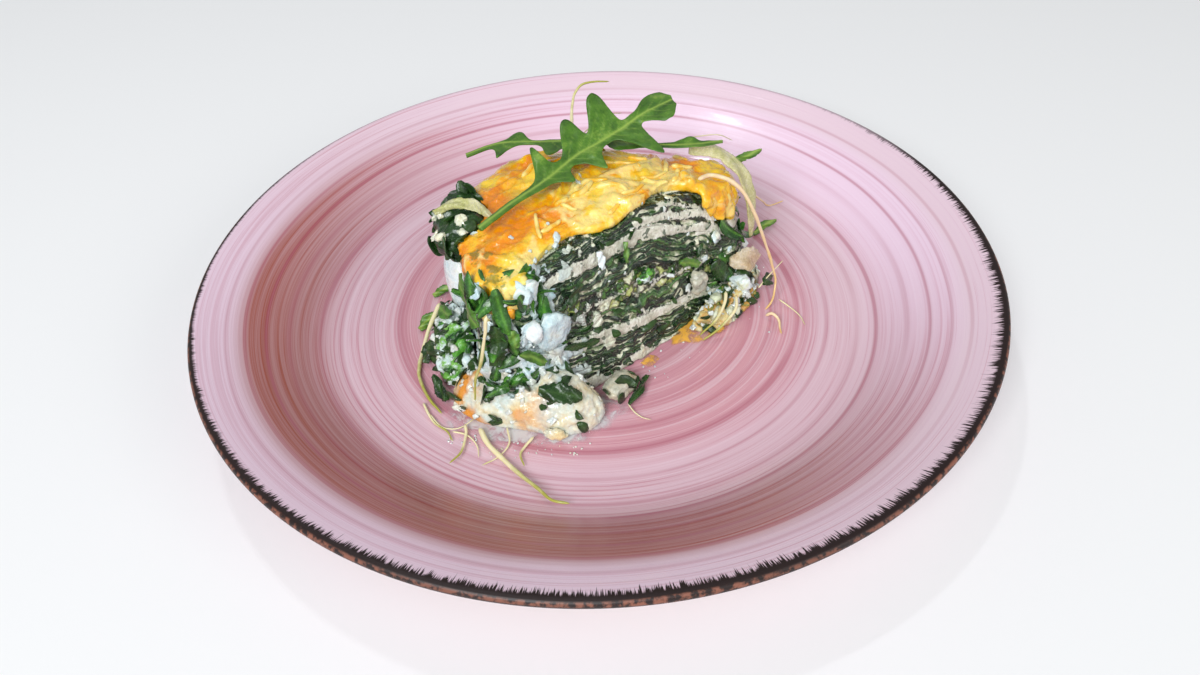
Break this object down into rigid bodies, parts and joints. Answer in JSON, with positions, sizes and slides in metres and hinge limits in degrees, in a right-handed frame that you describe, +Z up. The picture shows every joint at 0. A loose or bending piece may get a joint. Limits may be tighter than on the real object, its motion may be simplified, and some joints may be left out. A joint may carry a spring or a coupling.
{
  "type": "plate of lasagna",
  "caption": "A tall slice of spinach lasagna with melted cheese and rocket, on a round glazed dinner plate that carries it; lifts and rests as one part.",
  "frame": {"origin": "centre of the plate's foot ring, on the surface that the plate stands on", "axes": "+Z up, +Y away from the diner, +X to the right as in the picture"},
  "size_m": [0.27, 0.27, 0.0739],
  "materials": {
    "glazed_stoneware": "glossy brushed pink glaze with a dark brown rim",
    "pasta": "soft and moist",
    "spinach": "wet, wilted",
    "filling": "moist, mixed",
    "melted_cheddar": "melted, slightly oily",
    "soft_cheese": "crumbly and moist",
    "rocket": "fresh leaf, satin",
    "shoot": "fresh stem, translucent"
  },
  "bodies": {
    "root": {"plate": "glazed_stoneware", "pasta_bottom": "pasta", "spinach_low": "spinach", "pasta_low": "pasta", "spinach_middle": "spinach", "vegetable_filling": "filling", "spinach_upper": "spinach", "pasta_high": "pasta", "spinach_top": "spinach", "spinach_bunch_left": "spinach", "cheese_topping": "melted_cheddar", "soft_cheese_left": "soft_cheese", "spilled_filling_left": "filling", "spilled_cheese_front": "soft_cheese", "spilled_spinach_right": "filling", "cheese_block_front": "soft_cheese", "cheese_chunk_front": "soft_cheese", "filling_lump_middle": "filling", "cheese_lump_right": "pasta", "onion_piece_front": "soft_cheese", "cheese_lump_base": "soft_cheese", "shell_leaf_right": "soft_cheese", "leaf_ribbon_front": "rocket", "spinach_leaf_corner": "spinach", "spinach_leaf_face": "spinach", "green_slice_corner": "rocket", "green_slice_low": "rocket", "spinach_leaf_middle": "spinach", "spinach_leaf_right": "spinach", "cheese_shred_face": "soft_cheese", "leaf_strip_face": "shoot", "green_leaf_right": "rocket", "pasta_curl_right": "pasta", "pasta_flap_right": "pasta", "spinach_tip_right": "spinach", "pasta_curl_left": "pasta", "spinach_strip_front": "spinach", "spinach_leaf_base": "spinach", "spinach_leaf_spill": "spinach", "green_slice_left": "rocket", "leaf_tip_high": "rocket", "leaf_tip_low": "rocket", "leaf_tip_dark": "spinach", "leaf_tip_right": "rocket", "rocket_stem_right": "rocket", "rocket_leaf_front": "rocket", "rocket_leaf_back": "rocket", "shoot_right_loop": "shoot", "shoot_right_base": "shoot", "shoot_double_upper": "shoot", "shoot_double_lower": "shoot", "shoot_back_right": "shoot", "shoot_top_curl": "shoot", "shoot_left_arc": "shoot", "shoot_left_white": "shoot", "shoot_left_tail": "shoot", "shoot_front_long": "shoot", "shoot_front_short": "shoot", "shoot_front_drop": "shoot"}
  },
  "joints": []
}
